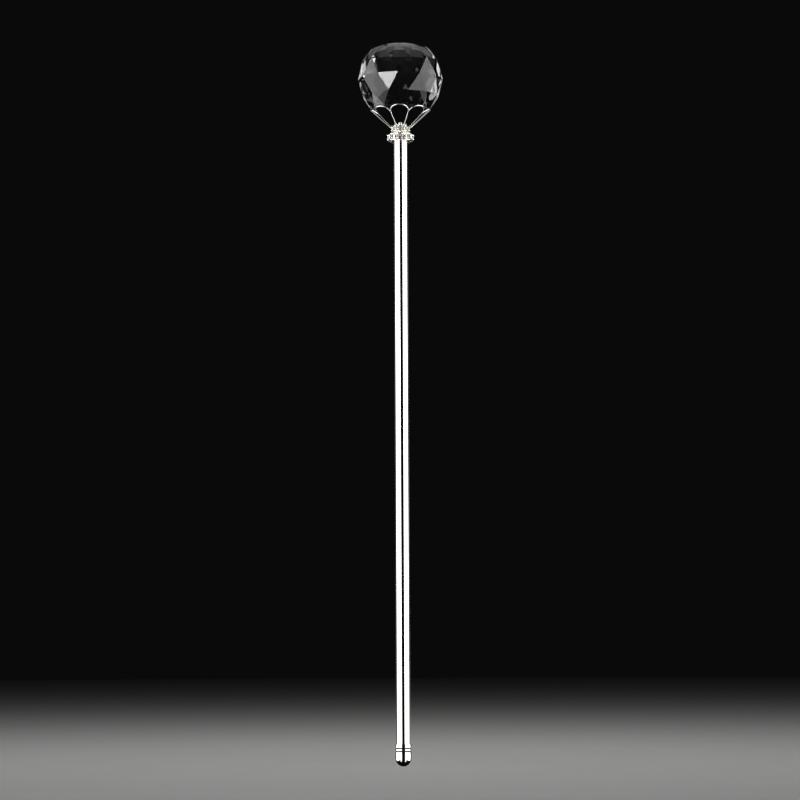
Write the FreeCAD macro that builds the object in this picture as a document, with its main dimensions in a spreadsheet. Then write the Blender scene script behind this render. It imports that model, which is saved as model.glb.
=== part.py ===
"""A crystal-topped magic wand: polished tube, turned end cap, rhinestone collar, petal cup, faceted ball.

The wand stands upright on its rounded end cap. +Z runs up its axis and the origin is at the lowest point
of the cap. The head screws off the tube: a fixed stud under the ball turns in a threaded plug, and the
rhinestone rondelle hangs loose on that stud, trapped between the beaded ring and a spring clip.
"""

import FreeCAD
import Part

import math
import os

import Sketcher

# Every driving size in millimetres, in degrees, or as a plain number. Heights are above the cap's tip.
DIMENSIONS = {
    "tube_diameter": 8.0,
    "tube_bore": 6.0,
    "tube_foot": 6.5,
    "tube_top": 366.0,
    "cap_diameter": 9.4,
    "cap_top": 12.9,
    "cap_dome_top": 4.6,
    "cap_lip_radius": 0.5,
    "groove_depth": 0.45,
    "groove_width": 0.6,
    "lower_groove": 8.7,
    "upper_groove": 10.4,
    "plug_foot": 350.0,
    "plug_top": 364.6,
    "stud_diameter": 3.9,
    "stud_foot": 353.5,
    "stud_top": 381.6,
    "thread_clearance": 0.05,
    "clip_diameter": 5.2,
    "clip_foot": 365.4,
    "clip_thickness": 0.5,
    "clip_groove_depth": 0.45,
    "clip_mouth_to_bore_radius": 1.4,
    "rondelle_hub_diameter": 8.4,
    "rondelle_top": 370.5,
    "rondelle_reach": 7.1,
    "rondelle_setting_diameter": 4.3,
    "rondelle_stone_diameter": 3.4,
    "rondelle_stone_depth": 1.5,
    "rondelle_claw_diameter": 0.8,
    "rondelle_claw_length": 0.85,
    "bead_ring_top": 371.8,
    "bead_ring_diameter": 7.4,
    "bead_diameter": 1.2,
    "bead_count": 16,
    "neck_ring_top": 375.0,
    "neck_hub_diameter": 7.6,
    "neck_reach": 5.0,
    "neck_setting_diameter": 3.1,
    "neck_stone_diameter": 2.5,
    "neck_stone_depth": 1.2,
    "neck_claw_diameter": 0.5,
    "neck_claw_length": 0.6,
    "claws_per_setting": 4,
    # A hub's diameter over the radius that its settings start at.
    "hub_diameters_to_setting_root": 3.0,
    # Shares of a stone's depth or radius.
    "stone_facets_round": 8,
    "stone_girdle_height": 0.6,
    "stone_shoulder_height": 0.85,
    "stone_shoulder_radius": 0.8,
    "stone_table_radius": 0.5,
    "petal_count": 8,
    "petal_root_radius": 6.3,
    "petal_root_height": 374.8,
    "petal_tip_radius": 17.4,
    "petal_tip_height": 384.9,
    "petal_valley_radius": 13.6,
    "petal_thickness": 0.4,
    "rim_width": 0.5,
    "rim_thickness": 0.35,
    "dish_top": 376.4,
    "washer_diameter": 7.0,
    "washer_thickness": 0.7,
    "seat_foot_diameter": 8.0,
    "seat_neck_top": 380.2,
    "seat_top_diameter": 17.0,
    "seat_top": 383.2,
    "seat_plate_thickness": 1.0,
    "pad_thickness": 0.5,
    "ball_diameter": 50.0,
    "ball_centre": 403.2,
    "ball_facets_round": 12,
    "ball_middle_latitude": 24.5,
    "ball_outer_latitude": 46.0,
    "ball_table_height": 19.5,
    "ball_table_radius": 11.8,
}


class Size:
    """A length that knows its value and how the sheet's cells give it."""

    def __init__(self, value, text):
        self.value = value
        self.text = text

    @staticmethod
    def of(other):
        """Another size as it is, and a plain number as a size."""
        return other if isinstance(other, Size) else Size(float(other), repr(float(other)))

    def __add__(self, other):
        other = Size.of(other)
        return Size(self.value + other.value, f"({self.text} + {other.text})")

    def __sub__(self, other):
        other = Size.of(other)
        return Size(self.value - other.value, f"({self.text} - {other.text})")

    def __mul__(self, other):
        other = Size.of(other)
        return Size(self.value * other.value, f"({self.text} * {other.text})")

    def __truediv__(self, other):
        other = Size.of(other)
        return Size(self.value / other.value, f"({self.text} / {other.text})")

    def root(self):
        """The square root."""
        return Size(math.sqrt(self.value), f"sqrt({self.text})")

    def sine(self):
        """The sine of an angle in degrees."""
        return Size(math.sin(math.radians(self.value)), f"sin({self.text})")


def make_sheet(document):
    """The spreadsheet of driving sizes, one alias to a row."""
    sheet = document.addObject("Spreadsheet::Sheet", "Sizes")
    for row, (alias, value) in enumerate(DIMENSIONS.items(), start=1):
        sheet.set(f"A{row}", alias)
        sheet.set(f"B{row}", str(value))
        sheet.setAlias(f"B{row}", alias)
    document.recompute()
    return sheet


doc = FreeCAD.newDocument("magic_wand")
sizes = make_sheet(doc)
AXIS = Size(0.0, "0")
NEGLIGIBLE = 1e-6  # cubic millimetres or radians


def cell(alias):
    """The size that the sheet holds under an alias."""
    return Size(float(sizes.get(alias)), f"Sizes.{alias}")


def number(alias):
    """The plain value that the sheet holds under an alias."""
    return cell(alias).value


def named(shape_object, label):
    """Labels a sub-part and stands it at the origin of the wand."""
    shape_object.Label = label
    shape_object.Placement = FreeCAD.Placement()
    return shape_object


def new_body(label):
    return named(doc.addObject("PartDesign::Body", label), label)


def origin_plane(body, role):
    """One of the body's own origin planes or axes."""
    return next(feature for feature in body.Origin.OriginFeatures if feature.Role == role)


def new_sketch(body, name, role="XZ_Plane", offset=None):
    """An empty sketch on an origin plane, moved out along the plane's normal where an offset is given."""
    sketch = body.newObject("Sketcher::SketchObject", f"{body.Name}_{name}")
    sketch.AttachmentSupport = [(origin_plane(body, role), "")]
    sketch.MapMode = "FlatFace"
    if offset is not None:
        sketch.setExpression("AttachmentOffset.Base.z", offset.text)
    return sketch


def place_point(sketch, edge, end, across, up):
    """Ties one end of an edge to two sizes measured from the sketch's origin."""
    for kind, size, line in (("DistanceX", across, -2), ("DistanceY", up, -1)):
        if size is AXIS:
            sketch.addConstraint(Sketcher.Constraint("PointOnObject", edge, end, line))
            continue
        reach = abs(size.value)
        ends = (-1, 1, edge, end) if size.value >= 0 else (edge, end, -1, 1)
        index = sketch.addConstraint(Sketcher.Constraint(kind, *ends, reach))
        sketch.setExpression(f"Constraints[{index}]", size.text if size.value >= 0 else f"-{size.text}")


def arc_centre(start, end, crown):
    """How high an arc's centre lies on the upright axis, from its ends and, for an even arch, its crown."""
    if crown is None:
        middle, chord = (start + end) * 0.5, end - start
        return middle.y + chord.x * middle.x / chord.y
    rise = crown.value - start.y
    return crown.value - (start.x**2 + rise**2) / (2 * rise)


def add_edge(sketch, start, end, centre_up=None):
    """Adds a line, or the shorter arc about a centre on the upright axis. Returns its first and last ends."""
    if centre_up is None:
        sketch.addGeometry(Part.LineSegment(start, end))
        return 1, 2
    centre = FreeCAD.Vector(0, centre_up, 0)
    circle = Part.Circle(centre, FreeCAD.Vector(0, 0, 1), (start - centre).Length)
    turns = [math.atan2(point.y - centre_up, point.x) for point in (start, end)]
    anticlockwise = (turns[1] - turns[0]) % (2 * math.pi) < math.pi
    sketch.addGeometry(Part.ArcOfCircle(circle, *(turns if anticlockwise else turns[::-1])))
    return (1, 2) if anticlockwise else (2, 1)


def fix_arch(sketch, edge, side, foot, crown):
    """Gives an even arch the radius that takes it through its crown."""
    rise = crown - foot
    radius = (side * side + rise * rise) / (rise * 2)
    index = sketch.addConstraint(Sketcher.Constraint("Radius", edge, radius.value))
    sketch.setExpression(f"Constraints[{index}]", radius.text)


def closed_outline(sketch, corners, domes=(), arches=None):
    """Draws edges from corner to corner.

    An edge in domes is an arc centred on the upright axis. One in arches joins two corners at one height,
    as far to one side of that axis as to the other, and rises to the crown that arches gives for it.
    """
    arches = arches or {}
    points = [FreeCAD.Vector(across.value, up.value, 0) for across, up in corners]
    ends = []
    for index, start in enumerate(points):
        end = points[(index + 1) % len(points)]
        round_edge = index in domes or index in arches
        centre_up = arc_centre(start, end, arches.get(index)) if round_edge else None
        ends.append(add_edge(sketch, start, end, centre_up))
    for index in range(len(points)):
        following = (index + 1) % len(points)
        sketch.addConstraint(
            Sketcher.Constraint("Coincident", index, ends[index][1], following, ends[following][0])
        )
    for index, (across, up) in enumerate(corners):
        place_point(sketch, index, ends[index][0], across, up)
    for index in domes:
        sketch.addConstraint(Sketcher.Constraint("PointOnObject", index, 3, -2))
    for index, crown in arches.items():
        fix_arch(sketch, index, *corners[index], crown)


def revolve(body, name, sketch, angle=360.0, kind="PartDesign::Revolution"):
    """Turns a sketch about its upright axis, half the angle to each side."""
    feature = body.newObject(kind, f"{body.Name}_{name}")
    feature.Profile = sketch
    feature.ReferenceAxis = (sketch, ["V_Axis"])
    feature.Angle = angle
    feature.Midplane = True
    return feature


def turned_body(label, corners, domes=()):
    """A sub-part turned on a lathe from one closed outline of (radius, height) corners."""
    body = new_body(label)
    sketch = new_sketch(body, "profile")
    closed_outline(sketch, corners, domes)
    revolve(body, "turned", sketch)
    return body


def ring_corners(inner, outer, foot, top):
    """The outline of a plain ring."""
    return [(inner, foot), (outer, foot), (outer, top), (inner, top)]


def circle_sketch(body, name, offset, centre_up, radius, centre_across=AXIS):
    """A circle that faces out along +X, at a height on the body."""
    sketch = new_sketch(body, name, "YZ_Plane", offset)
    centre = FreeCAD.Vector(centre_across.value, centre_up.value, 0)
    sketch.addGeometry(Part.Circle(centre, FreeCAD.Vector(0, 0, 1), radius.value))
    place_point(sketch, 0, 3, centre_across, centre_up)
    index = sketch.addConstraint(Sketcher.Constraint("Radius", 0, radius.value))
    sketch.setExpression(f"Constraints[{index}]", radius.text)
    return sketch


def extrude(body, name, sketch, length, kind="PartDesign::Pad", reversed_way=False):
    """A pad or a pocket of the sketch, as deep as length."""
    feature = body.newObject(kind, f"{body.Name}_{name}")
    feature.Profile = sketch
    feature.setExpression("Length", length.text)
    feature.Reversed = reversed_way
    return feature


def repeat_round(body, name, features, count):
    """Repeats features evenly round the wand's axis and makes that the body's last step."""
    pattern = body.newObject("PartDesign::PolarPattern", f"{body.Name}_{name}")
    pattern.Originals = features
    pattern.Axis = (origin_plane(body, "Z_Axis"), [""])
    pattern.Angle = 360.0
    pattern.setExpression("Occurrences", count.text)
    body.Tip = pattern
    return pattern


def check_cut(body, before):
    """Stops if the body's newest cut took nothing away."""
    doc.recompute()
    if body.Shape.Volume >= before - NEGLIGIBLE:
        raise RuntimeError(f"{body.Label}: a cut removed nothing")


# ---------------------------------------------------------------- the rod


def make_shaft_tube():
    """The polished tube that is held in the hand."""
    radius = cell("tube_diameter") / 2
    return turned_body(
        "shaft_tube", ring_corners(cell("tube_bore") / 2, radius, cell("tube_foot"), cell("tube_top"))
    )


def make_end_cap():
    """The bullet-shaped cap over the tube's lower end, with two decorative grooves."""
    radius = cell("cap_diameter") / 2
    lip = cell("cap_lip_radius")
    socket = cell("tube_diameter") / 2
    body = turned_body(
        "end_cap",
        [
            (AXIS, AXIS),
            (radius, cell("cap_dome_top")),
            (radius, cell("cap_top") - lip),
            (radius - lip * 0.5, cell("cap_top")),
            (socket, cell("cap_top")),
            (socket, cell("tube_foot")),
            (AXIS, cell("tube_foot")),
        ],
        domes=(0,),
    )
    half_width = cell("groove_width") / 2
    for name in ("lower_groove", "upper_groove"):
        doc.recompute()
        before = body.Shape.Volume
        sketch = new_sketch(body, f"{name}_profile")
        height = cell(name)
        closed_outline(
            sketch,
            [
                (radius - cell("groove_depth"), height),
                (radius + half_width, height - half_width - cell("groove_depth")),
                (radius + half_width, height + half_width + cell("groove_depth")),
            ],
        )
        revolve(body, name, sketch, kind="PartDesign::Groove")
        check_cut(body, before)
    return body


def make_thread_plug():
    """The tapped plug that is pressed into the tube's upper end."""
    bore = cell("stud_diameter") / 2 + cell("thread_clearance")
    corners = ring_corners(bore, cell("tube_bore") / 2, cell("plug_foot"), cell("plug_top"))
    return turned_body("thread_plug", corners)


# ---------------------------------------------------------------- the stud and its clip


def make_centre_stud():
    """The stud that carries the whole head, with the groove that its clip snaps into."""
    radius = cell("stud_diameter") / 2
    neck = radius - cell("clip_groove_depth")
    clip_top = cell("clip_foot") + cell("clip_thickness")
    return turned_body(
        "centre_stud",
        [
            (AXIS, cell("stud_foot")),
            (neck, cell("stud_foot")),
            (radius, cell("stud_foot") + cell("clip_groove_depth")),
            (radius, cell("clip_foot")),
            (neck, cell("clip_foot")),
            (neck, clip_top),
            (radius, clip_top),
            (radius, cell("stud_top")),
            (AXIS, cell("stud_top")),
        ],
    )


def make_retaining_clip():
    """The open spring clip that keeps the rondelle on the stud."""
    bore = cell("stud_diameter") / 2 - cell("clip_groove_depth")
    clip_top = cell("clip_foot") + cell("clip_thickness")
    body = turned_body(
        "retaining_clip", ring_corners(bore, cell("clip_diameter") / 2, cell("clip_foot"), clip_top)
    )
    doc.recompute()
    before = body.Shape.Volume
    mouth = bore * cell("clip_mouth_to_bore_radius")
    sketch = new_sketch(body, "mouth", "XY_Plane", cell("clip_foot"))
    closed_outline(
        sketch,
        [
            (AXIS, AXIS - mouth / 2),
            (cell("clip_diameter"), AXIS - mouth / 2),
            (cell("clip_diameter"), mouth / 2),
            (AXIS, mouth / 2),
        ],
    )
    extrude(body, "mouth_cut", sketch, cell("clip_thickness"), "PartDesign::Pocket", reversed_way=True)
    check_cut(body, before)
    return body


# ---------------------------------------------------------------- settings and their stones


def add_settings(body, tier, foot, top):
    """Eight stone cups that face outwards round a hub, each with a socket and claws."""
    reach = cell(f"{tier}_reach")
    height = (foot + top) / 2
    cup_radius = cell(f"{tier}_setting_diameter") / 2
    stone_radius = cell(f"{tier}_stone_diameter") / 2
    claw_radius = cell(f"{tier}_claw_diameter") / 2
    claw_length = cell(f"{tier}_claw_length")
    root = cell(f"{tier}_hub_diameter") / cell("hub_diameters_to_setting_root")
    cup = extrude(body, "cup", circle_sketch(body, "cup_outline", root, height, cup_radius), reach - root)
    claws = []
    claw_count = int(number("claws_per_setting"))
    for claw in range(claw_count):
        slant = math.radians((claw + 0.5) * 360.0 / claw_count)
        across = stone_radius * math.cos(slant)
        up = height + stone_radius * math.sin(slant)
        outline = circle_sketch(body, f"claw_outline_{claw}", reach, up, claw_radius, across)
        claws.append(extrude(body, f"claw_{claw}", outline, claw_length))
    doc.recompute()
    before = body.Shape.Volume
    socket_depth = cell(f"{tier}_stone_depth") - claw_length
    outline = circle_sketch(body, "socket_outline", reach + claw_length, height, stone_radius)
    socket = extrude(body, "socket", outline, socket_depth + claw_length, "PartDesign::Pocket")
    check_cut(body, before)
    repeat_round(body, "settings", [cup, *claws, socket], cell("petal_count"))
    return body


def make_rondelle_flower():
    """The loose rondelle: a bored hub with eight claw settings round it."""
    bore = cell("stud_diameter") / 2 + cell("thread_clearance")
    foot, top = cell("tube_top"), cell("rondelle_top")
    body = turned_body("rondelle_flower", ring_corners(bore, cell("rondelle_hub_diameter") / 2, foot, top))
    return add_settings(body, "rondelle", foot, top)


def make_neck_ring():
    """The smaller ring of eight settings under the petals' roots."""
    foot, top = cell("bead_ring_top"), cell("neck_ring_top")
    hub = ring_corners(cell("stud_diameter") / 2, cell("neck_hub_diameter") / 2, foot, top)
    return add_settings(turned_body("neck_ring", hub), "neck", foot, top)


def make_bead_ring():
    """A ring of round beads between the rondelle and the neck ring."""
    body = turned_body(
        "bead_ring",
        ring_corners(
            cell("stud_diameter") / 2,
            cell("bead_ring_diameter") / 2,
            cell("rondelle_top"),
            cell("bead_ring_top"),
        ),
    )
    sketch = new_sketch(body, "bead_outline")
    across = cell("bead_ring_diameter") / 2
    radius = cell("bead_diameter") / 2
    height = (cell("rondelle_top") + cell("bead_ring_top")) / 2
    centre = FreeCAD.Vector(across.value, height.value, 0)
    circle = Part.Circle(centre, FreeCAD.Vector(0, 0, 1), radius.value)
    sketch.addGeometry(Part.ArcOfCircle(circle, -math.pi / 2, math.pi / 2))
    low, high = (centre + FreeCAD.Vector(0, turn * radius.value, 0) for turn in (-1, 1))
    sketch.addGeometry(Part.LineSegment(high, low))
    sketch.addGeometry(Part.LineSegment(low, high), True)
    for line in (1, 2):
        sketch.addConstraint(Sketcher.Constraint("Coincident", 0, 1, line, 3 - line))
        sketch.addConstraint(Sketcher.Constraint("Coincident", 0, 2, line, line))
    place_point(sketch, 0, 1, across, height - radius)
    place_point(sketch, 0, 2, across, height + radius)
    sketch.addConstraint(Sketcher.Constraint("PointOnObject", 0, 3, 1))
    bead = revolve(body, "bead", sketch)
    bead.ReferenceAxis = (sketch, ["Axis0"])
    repeat_round(body, "beads", [bead], cell("bead_count"))
    return body


def ring_points(radius, height, count, first_turn):
    """Evenly spaced corners round the Z axis. first_turn is how far round the first one is, in steps."""
    step = 2 * math.pi / count
    return [
        FreeCAD.Vector(
            radius * math.cos((index + first_turn) * step),
            radius * math.sin((index + first_turn) * step),
            height,
        )
        for index in range(count)
    ]


def faceted_solid(rings, point=None):
    """A cut stone from rings of corners, lowest first, each half a step round from the one before.

    The top ring is closed by a flat table, and the lowest by a flat face, or by facets that meet at point.
    """
    faces = []
    for lower, upper in zip(rings, rings[1:], strict=False):
        count = len(lower)
        lower_first = math.atan2(lower[0].y, lower[0].x) < math.atan2(upper[0].y, upper[0].x) - NEGLIGIBLE
        for index in range(count):
            following = (index + 1) % count
            ahead, behind = (index, index - 1) if lower_first else (following, index)
            faces.append([lower[index], lower[following], upper[index if lower_first else following]])
            faces.append([lower[index], upper[ahead], upper[behind]])
    faces.append(rings[-1])
    if point is None:
        faces.append(rings[0][::-1])
    else:
        lowest = rings[0]
        faces += [[lowest[index - 1], point, lowest[index]] for index in range(len(lowest))]
    sides = [Part.Face(Part.makePolygon([*corners, corners[0]])) for corners in faces]
    return Part.Solid(Part.makeShell(sides))


def cut_stone(radius, depth):
    """A round stone cut with even rows of facets, its flat table up and its point at the origin."""
    count = int(number("stone_facets_round"))
    girdle = ring_points(radius, depth * number("stone_girdle_height"), count, 0.0)
    shoulder_radius = radius * number("stone_shoulder_radius")
    shoulder = ring_points(shoulder_radius, depth * number("stone_shoulder_height"), count, 0.5)
    table = ring_points(radius * number("stone_table_radius"), depth, count, 0.0)
    return faceted_solid([girdle, shoulder, table], point=FreeCAD.Vector(0, 0, 0))


def make_stones(label, tier, foot, top):
    """The eight stones of one ring of settings, each clear of its claws and cup."""
    claw_radius = number(f"{tier}_claw_diameter") / 2
    depth = number(f"{tier}_stone_depth")
    stone = cut_stone(number(f"{tier}_stone_diameter") / 2 - claw_radius, depth)
    stone.rotate(FreeCAD.Vector(), FreeCAD.Vector(0, 1, 0), 90)
    start = number(f"{tier}_reach") + number(f"{tier}_claw_length") - depth
    stone.translate(FreeCAD.Vector(start, 0, (foot.value + top.value) / 2))
    count = int(number("petal_count"))
    stones = []
    for index in range(count):
        turned = stone.copy()
        turned.rotate(FreeCAD.Vector(), FreeCAD.Vector(0, 0, 1), index * 360.0 / count)
        stones.append(turned)
    group = doc.addObject("Part::Feature", label)
    group.Shape = Part.makeCompound(stones)
    return named(group, label)


# ---------------------------------------------------------------- the petal cup


def petal_run():
    return cell("petal_tip_radius") - cell("petal_root_radius")


def petal_rise():
    return cell("petal_tip_height") - cell("petal_root_height")


def petal_profile(inner_gap, outer_gap):
    """The straight sloping section of the cup, between two distances out from the petals' outer face."""
    run, rise = petal_run(), petal_rise()
    slant = (run * run + rise * rise).root()
    root = (cell("petal_root_radius"), cell("petal_root_height"))
    tip = (cell("petal_tip_radius"), cell("petal_tip_height"))

    def moved(corner, gap):
        return corner[0] + gap * rise / slant, corner[1] - gap * run / slant

    return [moved(root, outer_gap), moved(tip, outer_gap), moved(tip, inner_gap), moved(root, inner_gap)]


def valley():
    """Half the width of a petal at the dip beside it, and that dip's height."""
    beyond_root = cell("petal_valley_radius") - cell("petal_root_radius")
    height = cell("petal_root_height") + beyond_root * petal_rise() / petal_run()
    return cell("petal_valley_radius") * half_petal_angle().sine(), height


def half_petal_angle():
    """Half of one petal's share of a full turn."""
    return Size(180.0, "180") / cell("petal_count")


def cut_arch(body):
    """Trims the top of one petal's blank to a rounded arch, seen straight on."""
    doc.recompute()
    before = body.Shape.Volume
    side, foot = valley()
    crown = cell("petal_tip_height")
    margin = cell("petal_root_radius")
    sketch = new_sketch(body, "arch_outline", "YZ_Plane")
    closed_outline(
        sketch,
        [
            (side, foot),
            (side + margin, foot),
            (side + margin, crown + margin),
            (AXIS - side - margin, crown + margin),
            (AXIS - side - margin, foot),
            (AXIS - side, foot),
        ],
        arches={5: crown},
    )
    extrude(body, "arch", sketch, cell("petal_tip_radius") * 2, "PartDesign::Pocket", reversed_way=True)
    check_cut(body, before)


def cut_window(body):
    """Opens the middle of one petal's border, so that a band of even width is left all round."""
    before = body.Shape.Volume
    width = cell("rim_width")
    valley_side, valley_up = valley()
    side = valley_side - width
    root_side = cell("petal_root_radius") * half_petal_angle().sine() - width
    window_foot = cell("petal_root_height") + width
    sketch = new_sketch(body, "window_outline", "YZ_Plane")
    corners = [
        (side, valley_up),
        (AXIS - side, valley_up),
        (AXIS - root_side, window_foot),
        (root_side, window_foot),
    ]
    closed_outline(sketch, corners, arches={0: cell("petal_tip_height") - width})
    extrude(body, "window", sketch, cell("petal_tip_radius") * 2, "PartDesign::Pocket", reversed_way=True)
    check_cut(body, before)


def petal_blank(label, inner_gap, outer_gap):
    """One petal's share of the cone, centred on +X, with its top trimmed to the arch."""
    body = new_body(label)
    sketch = new_sketch(body, "profile")
    closed_outline(sketch, petal_profile(inner_gap, outer_gap))
    blank = revolve(body, "blank", sketch)
    blank.setExpression("Angle", (half_petal_angle() * 2).text)
    cut_arch(body)
    return body


def make_petal(index):
    """One sheet-metal petal, which meets its neighbours edge to edge."""
    return petal_blank(f"petal_{index + 1}", AXIS - cell("petal_thickness"), AXIS)


def make_petal_rim(index):
    """The raised border soldered on the outside of one petal."""
    rim = petal_blank(f"petal_rim_{index + 1}", AXIS, cell("rim_thickness"))
    cut_window(rim)
    return rim


def make_round_the_cup(make_one):
    """One of a sub-part for each petal, turned to its place."""
    count = int(number("petal_count"))
    made = [make_one(index) for index in range(count)]
    for index, sub_part in enumerate(made):
        turn = FreeCAD.Rotation(FreeCAD.Vector(0, 0, 1), index * 360.0 / count)
        sub_part.Placement = FreeCAD.Placement(FreeCAD.Vector(), turn)
    return made


def make_cup_dish():
    """The turned dish inside the petals' roots that they are soldered to."""
    root = petal_profile(AXIS, AXIS - cell("petal_thickness"))[0]
    slope = petal_run() / petal_rise()
    foot, top = cell("neck_ring_top"), cell("dish_top")
    bore = cell("stud_diameter") / 2
    return turned_body(
        "cup_dish",
        [
            (bore, foot),
            (root[0] + slope * (foot - root[1]), foot),
            (root[0] + slope * (top - root[1]), top),
            (bore, top),
        ],
    )


# ---------------------------------------------------------------- what carries the ball, and the ball


def make_lock_washer():
    washer_top = cell("dish_top") + cell("washer_thickness")
    corners = ring_corners(
        cell("stud_diameter") / 2, cell("washer_diameter") / 2, cell("dish_top"), washer_top
    )
    return turned_body("lock_washer", corners)


def make_ball_seat():
    """The tapped pedestal that clamps the cup on the stud and carries the ball."""
    foot = cell("dish_top") + cell("washer_thickness")
    bore = cell("stud_diameter") / 2
    neck = cell("seat_foot_diameter") / 2
    rim = cell("seat_top_diameter") / 2
    return turned_body(
        "ball_seat",
        [
            (bore, foot),
            (neck, foot),
            (neck, cell("seat_neck_top")),
            (rim, cell("seat_top") - cell("seat_plate_thickness")),
            (rim, cell("seat_top")),
            (AXIS, cell("seat_top")),
            (AXIS, cell("stud_top")),
            (bore, cell("stud_top")),
        ],
    )


def make_seat_pad():
    """The clear cement that holds the ball's flat foot to its seat."""
    foot = cell("seat_top")
    return turned_body(
        "seat_pad", ring_corners(AXIS, cell("seat_top_diameter") / 2, foot, foot + cell("pad_thickness"))
    )


def make_crystal_ball():
    """The cut glass ball: triangular facets in rings, with a flat table on top and a flat foot."""
    radius = number("ball_diameter") / 2
    centre = number("ball_centre")
    count = int(number("ball_facets_round"))
    table_up, table_radius = number("ball_table_height"), number("ball_table_radius")
    middle, outer = number("ball_middle_latitude"), number("ball_outer_latitude")
    rows = [(table_radius, -table_up)]
    for latitude in (-outer, -middle, 0.0, middle, outer):
        slant = math.radians(latitude)
        rows.append((radius * math.cos(slant), radius * math.sin(slant)))
    rows.append((table_radius, table_up))
    rings = [
        ring_points(across, centre + up, count, 0.5 * (row % 2 == 0)) for row, (across, up) in enumerate(rows)
    ]
    ball = doc.addObject("Part::Feature", "crystal_ball")
    ball.Shape = faceted_solid(rings)
    return named(ball, "crystal_ball")


def check_document():
    """Stops at the first object that failed to build."""
    doc.recompute()
    for item in doc.Objects:
        if "Invalid" in item.State or "Error" in item.State:
            raise RuntimeError(f"{item.Label}: {item.State}")


def write_parts(parts):
    """Checks each sub-part's shape and writes it under its own name."""
    for part in parts:
        shape = part.Shape
        if shape.isNull() or not shape.isValid() or not shape.Solids:
            raise RuntimeError(f"{part.Label}: its shape is empty or broken")
    os.makedirs("parts", exist_ok=True)
    for part in parts:
        part.Shape.exportStep(f"parts/{part.Label}.step")


wand = [
    make_shaft_tube(),
    make_end_cap(),
    make_thread_plug(),
    make_centre_stud(),
    make_retaining_clip(),
    make_rondelle_flower(),
    make_stones("rondelle_stones", "rondelle", cell("tube_top"), cell("rondelle_top")),
    make_bead_ring(),
    make_neck_ring(),
    make_stones("neck_stones", "neck", cell("bead_ring_top"), cell("neck_ring_top")),
    make_cup_dish(),
    *make_round_the_cup(make_petal),
    *make_round_the_cup(make_petal_rim),
    make_lock_washer(),
    make_ball_seat(),
    make_seat_pad(),
    make_crystal_ball(),
]
check_document()
write_parts(wand)
for part in wand:
    box = part.Shape.BoundBox
    print(
        f"{part.Label:16s} solids {len(part.Shape.Solids)} volume {part.Shape.Volume:9.2f} "
        f"radius {box.XMax:6.2f} z {box.ZMin:7.2f} to {box.ZMax:7.2f}"
    )
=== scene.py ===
"""A crystal-topped magic wand, dressed for rendering round its packed mechanical frame.

Every length is in metres and most places come from the frame's own boxes. The wand's axis is Z.
"""

import logging
import math
from dataclasses import dataclass
from enum import Enum

import bmesh
import bpy
from mathutils import Matrix, Vector


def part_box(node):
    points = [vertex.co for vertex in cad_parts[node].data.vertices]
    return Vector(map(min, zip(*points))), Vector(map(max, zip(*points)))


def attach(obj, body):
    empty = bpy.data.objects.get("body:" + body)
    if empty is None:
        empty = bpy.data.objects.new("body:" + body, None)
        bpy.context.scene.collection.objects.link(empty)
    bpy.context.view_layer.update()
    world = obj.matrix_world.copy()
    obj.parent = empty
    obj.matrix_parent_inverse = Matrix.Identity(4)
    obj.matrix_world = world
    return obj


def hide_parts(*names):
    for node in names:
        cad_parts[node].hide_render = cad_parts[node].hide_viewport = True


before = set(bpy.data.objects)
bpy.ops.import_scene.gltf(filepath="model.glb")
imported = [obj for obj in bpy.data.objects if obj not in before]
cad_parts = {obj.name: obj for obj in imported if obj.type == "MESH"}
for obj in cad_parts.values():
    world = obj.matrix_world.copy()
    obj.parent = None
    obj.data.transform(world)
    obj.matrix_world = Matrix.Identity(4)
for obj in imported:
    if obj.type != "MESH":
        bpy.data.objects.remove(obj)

MM = 0.001
FULL_TURN = 2 * math.pi
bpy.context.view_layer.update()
# How much of an edge a rounding may take, and the radius below which a corner counts as on the axis.
MOST_OF_EDGE = 0.45
ON_AXIS = 1e-6 * MM
LOG = logging.getLogger("wand")

Colour = tuple[float, float, float]
Outline = list[tuple[float, float]]
Span = tuple[float, float]


# ---------------------------------------------------------------- node trees


class Graph:
    """Builds one node tree, for a material or for geometry."""

    def __init__(self, tree: bpy.types.NodeTree) -> None:
        """Empties the tree so that it can be built afresh."""
        self.tree = tree
        tree.nodes.clear()

    def node(self, kind: str, settings: dict | None = None, sockets: dict | None = None) -> bpy.types.Node:
        """Makes any node.

        Args:
            kind: the node's type name.
            settings: its properties, set first.
            sockets: a value, a socket or a Signal for each input, by name or number.

        Returns:
            The new node.
        """
        made = self.tree.nodes.new(kind)
        for key, value in (settings or {}).items():
            setattr(made, key, value)
        for key, value in (sockets or {}).items():
            self.feed(made.inputs[key], value)
        return made

    def feed(self, target: bpy.types.NodeSocket, value: object) -> None:
        """Links a socket or Signal to an input, or sets the input's own value."""
        source = value.socket if isinstance(value, Signal) else value
        if isinstance(source, bpy.types.NodeSocket):
            self.tree.links.new(source, target)
        else:
            target.default_value = source


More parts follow.
